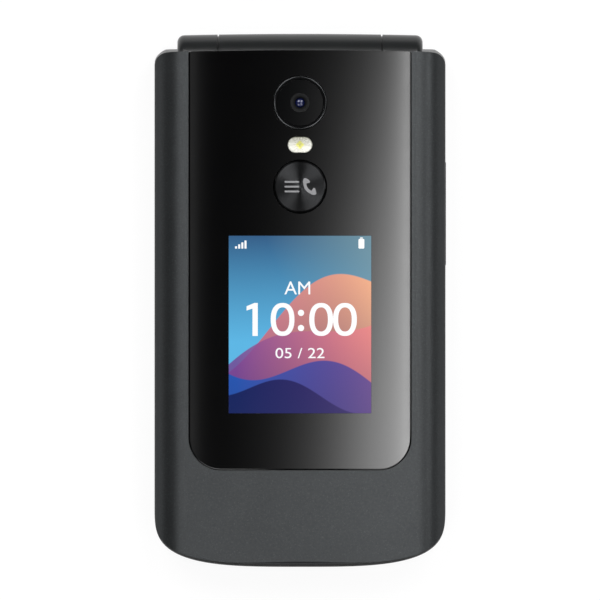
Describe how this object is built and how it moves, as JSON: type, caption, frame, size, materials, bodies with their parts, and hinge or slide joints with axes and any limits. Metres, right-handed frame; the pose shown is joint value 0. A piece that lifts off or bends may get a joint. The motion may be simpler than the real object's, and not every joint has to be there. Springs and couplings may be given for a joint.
{
  "type": "flip phone",
  "caption": "Clamshell phone with a hinged lid, inset curved panel, outer display, camera, round call key and keypad inside.",
  "frame": {"origin": "centre of the closed phone's footprint, on the back face it lies on", "axes": "+X across to the phone's right side seen from the front, +Y along to the hinge end, +Z out of the lid's front"},
  "size_m": [0.0575, 0.1052, 0.0189],
  "materials": {
    "dark_shell": "satin black paint on moulded plastic",
    "lid_paint": "dark grey metallic paint with a fine sparkle, on moulded plastic",
    "panel_gloss": "clear acrylic, black printed behind",
    "steel": "bright stamped or turned steel",
    "bright_ring": "bright plated ring",
    "lens_glass": "dark tinted window",
    "flash_plastic": "frosted clear plastic over a white reflector",
    "led_yellow": "yellow phosphor",
    "call_metal": "spun dark metal",
    "key_dark": "matt moulded keycap",
    "key_silver": "silver painted moulded keycap",
    "board_green": "circuit board lacquer",
    "rubber_black": "matt black rubber",
    "silicone": "translucent grey silicone",
    "battery_wrap": "foil-cased cell pack in a dark wrap, unlabelled",
    "gold_contact": "gold plated spring contacts",
    "socket_plastic": "black moulded socket",
    "display_glass": "display module behind glass",
    "flex_amber": "amber flat cable",
    "mesh_grey": "fine woven wire mesh"
  },
  "bodies": {
    "base": {"base_front_housing": "dark_shell", "base_rear_housing": "dark_shell", "main_board": "board_green", "dome_sheet": "steel", "keypad_membrane": "silicone", "shield_can": "steel", "battery": "battery_wrap", "battery_contacts": "gold_contact", "loudspeaker": "socket_plastic", "vibration_motor": "steel", "headphone_jack": "socket_plastic", "usb_port": "steel", "microphone": "steel", "sim_holder": "steel", "antenna": "gold_contact", "base_screws": "steel", "hinge_shaft": "steel", "hinge_tube": "steel"},
    "lid": {"lid_front_cover": "lid_paint", "lid_panel": "panel_gloss", "lid_inner_housing": "dark_shell", "inner_window": "display_glass", "inner_display": "display_glass", "outer_display": "display_glass", "lid_board": "board_green", "camera_ring": "bright_ring", "camera_window": "lens_glass", "camera_module": "socket_plastic", "flash_lens": "flash_plastic", "flash_led": "led_yellow", "call_switch": "steel", "earpiece": "socket_plastic", "earpiece_mesh": "mesh_grey", "lid_bumpers": "rubber_black", "lid_screws": "steel", "lid_magnet": "steel", "hinge_cartridge": "steel", "display_flex": "flex_amber"},
    "battery_cover": {"battery_cover": "dark_shell"},
    "volume_key": {"volume_key": "key_silver"},
    "call_button": {"call_button": "call_metal"},
    "key_1": {"key_1": "key_dark"},
    "key_2": {"key_2": "key_dark"},
    "key_3": {"key_3": "key_dark"},
    "key_4": {"key_4": "key_dark"},
    "key_5": {"key_5": "key_dark"},
    "key_6": {"key_6": "key_dark"},
    "key_7": {"key_7": "key_dark"},
    "key_8": {"key_8": "key_dark"},
    "key_9": {"key_9": "key_dark"},
    "key_star": {"key_star": "key_dark"},
    "key_0": {"key_0": "key_dark"},
    "key_hash": {"key_hash": "key_dark"},
    "soft_left": {"soft_left": "key_dark"},
    "soft_right": {"soft_right": "key_dark"},
    "send_key": {"send_key": "key_dark"},
    "end_key": {"end_key": "key_dark"},
    "clear_key": {"clear_key": "key_dark"},
    "nav_ring": {"nav_ring": "key_silver"},
    "ok_key": {"ok_key": "key_dark"}
  },
  "joints": [
    {"name": "lid_fold", "type": "hinge", "parent": "base", "child": "lid", "pos_m": [0, 0.048, 0.01039], "axis": [-1, 0, 0], "range_deg": [0, 160]},
    {"name": "cover_slide", "type": "slide", "parent": "base", "child": "battery_cover", "axis": [0, -1, 0], "range_m": [0, 0.005]},
    {"name": "volume_rock", "type": "hinge", "parent": "base", "child": "volume_key", "pos_m": [0.0271, 0.0171, 0.007], "axis": [0, 0, 1], "range_deg": [-1.2, 1.2], "stiffness_Nm_per_rad": 0.05},
    {"name": "call_press", "type": "slide", "parent": "lid", "child": "call_button", "axis": [0, 0, -1], "range_m": [0, 0.0003], "stiffness_N_per_m": 100, "springref_m": -0.002},
    {"name": "key_1_press", "type": "slide", "parent": "base", "child": "key_1", "axis": [0, 0, -1], "range_m": [0, 0.0002], "stiffness_N_per_m": 100, "springref_m": -0.002},
    {"name": "key_2_press", "type": "slide", "parent": "base", "child": "key_2", "axis": [0, 0, -1], "range_m": [0, 0.0002], "stiffness_N_per_m": 100, "springref_m": -0.002},
    {"name": "key_3_press", "type": "slide", "parent": "base", "child": "key_3", "axis": [0, 0, -1], "range_m": [0, 0.0002], "stiffness_N_per_m": 100, "springref_m": -0.002},
    {"name": "key_4_press", "type": "slide", "parent": "base", "child": "key_4", "axis": [0, 0, -1], "range_m": [0, 0.0002], "stiffness_N_per_m": 100, "springref_m": -0.002},
    {"name": "key_5_press", "type": "slide", "parent": "base", "child": "key_5", "axis": [0, 0, -1], "range_m": [0, 0.0002], "stiffness_N_per_m": 100, "springref_m": -0.002},
    {"name": "key_6_press", "type": "slide", "parent": "base", "child": "key_6", "axis": [0, 0, -1], "range_m": [0, 0.0002], "stiffness_N_per_m": 100, "springref_m": -0.002},
    {"name": "key_7_press", "type": "slide", "parent": "base", "child": "key_7", "axis": [0, 0, -1], "range_m": [0, 0.0002], "stiffness_N_per_m": 100, "springref_m": -0.002},
    {"name": "key_8_press", "type": "slide", "parent": "base", "child": "key_8", "axis": [0, 0, -1], "range_m": [0, 0.0002], "stiffness_N_per_m": 100, "springref_m": -0.002},
    {"name": "key_9_press", "type": "slide", "parent": "base", "child": "key_9", "axis": [0, 0, -1], "range_m": [0, 0.0002], "stiffness_N_per_m": 100, "springref_m": -0.002},
    {"name": "key_star_press", "type": "slide", "parent": "base", "child": "key_star", "axis": [0, 0, -1], "range_m": [0, 0.0002], "stiffness_N_per_m": 100, "springref_m": -0.002},
    {"name": "key_0_press", "type": "slide", "parent": "base", "child": "key_0", "axis": [0, 0, -1], "range_m": [0, 0.0002], "stiffness_N_per_m": 100, "springref_m": -0.002},
    {"name": "key_hash_press", "type": "slide", "parent": "base", "child": "key_hash", "axis": [0, 0, -1], "range_m": [0, 0.0002], "stiffness_N_per_m": 100, "springref_m": -0.002},
    {"name": "soft_left_press", "type": "slide", "parent": "base", "child": "soft_left", "axis": [0, 0, -1], "range_m": [0, 0.0002], "stiffness_N_per_m": 100, "springref_m": -0.002},
    {"name": "soft_right_press", "type": "slide", "parent": "base", "child": "soft_right", "axis": [0, 0, -1], "range_m": [0, 0.0002], "stiffness_N_per_m": 100, "springref_m": -0.002},
    {"name": "send_key_press", "type": "slide", "parent": "base", "child": "send_key", "axis": [0, 0, -1], "range_m": [0, 0.0002], "stiffness_N_per_m": 100, "springref_m": -0.002},
    {"name": "end_key_press", "type": "slide", "parent": "base", "child": "end_key", "axis": [0, 0, -1], "range_m": [0, 0.0002], "stiffness_N_per_m": 100, "springref_m": -0.002},
    {"name": "clear_key_press", "type": "slide", "parent": "base", "child": "clear_key", "axis": [0, 0, -1], "range_m": [0, 0.0002], "stiffness_N_per_m": 100, "springref_m": -0.002},
    {"name": "nav_ring_press", "type": "slide", "parent": "base", "child": "nav_ring", "axis": [0, 0, -1], "range_m": [0, 0.0002], "stiffness_N_per_m": 100, "springref_m": -0.002},
    {"name": "ok_key_press", "type": "slide", "parent": "base", "child": "ok_key", "axis": [0, 0, -1], "range_m": [0, 0.0002], "stiffness_N_per_m": 100, "springref_m": -0.002}
  ]
}
